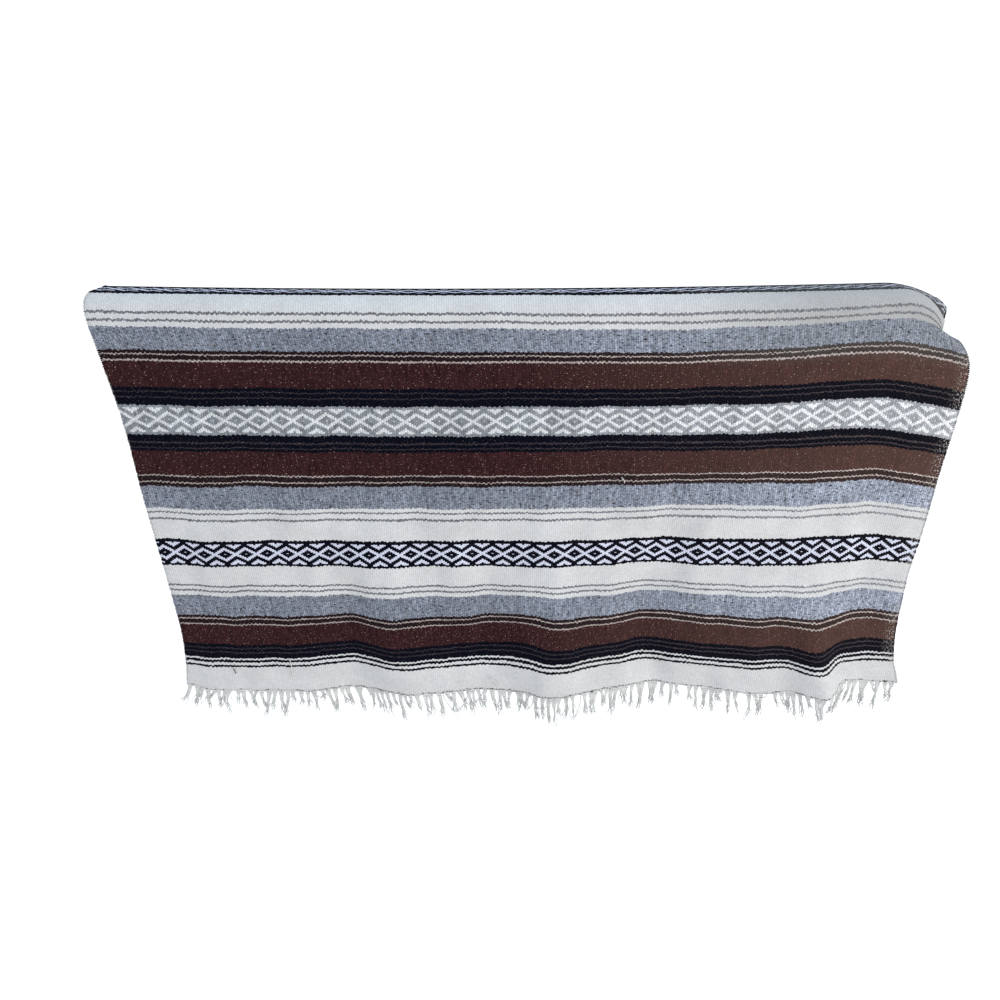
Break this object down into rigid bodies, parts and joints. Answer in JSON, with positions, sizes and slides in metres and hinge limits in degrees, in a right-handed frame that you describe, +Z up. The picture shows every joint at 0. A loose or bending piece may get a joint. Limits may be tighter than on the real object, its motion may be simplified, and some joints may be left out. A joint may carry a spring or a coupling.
{
  "type": "mexican serape draped over a rail",
  "caption": "Striped woven blanket with figured bands and fringed ends, hanging folded over a plain wooden rail, its right end sagging past the rail.",
  "frame": {"origin": "The middle of the rail's flat underside, where the rail is held.", "axes": "+X runs along the rail to the viewer's right, the front panel faces -Y, and +Z is up."},
  "size_m": [1.3326, 0.1638, 0.7928],
  "materials": {
    "woven_cloth": "matt weft-faced weave in white, mottled grey, brown and blue-black stripes, with two kinds of figured diamond band",
    "fringe_yarn": "loosely twisted off-white warp yarn",
    "pine": "plain planed softwood, unvarnished"
  },
  "bodies": {
    "root": {"serape_cloth": "woven_cloth", "fringe_front": "fringe_yarn", "fringe_back": "fringe_yarn", "rail": "pine"}
  },
  "joints": []
}
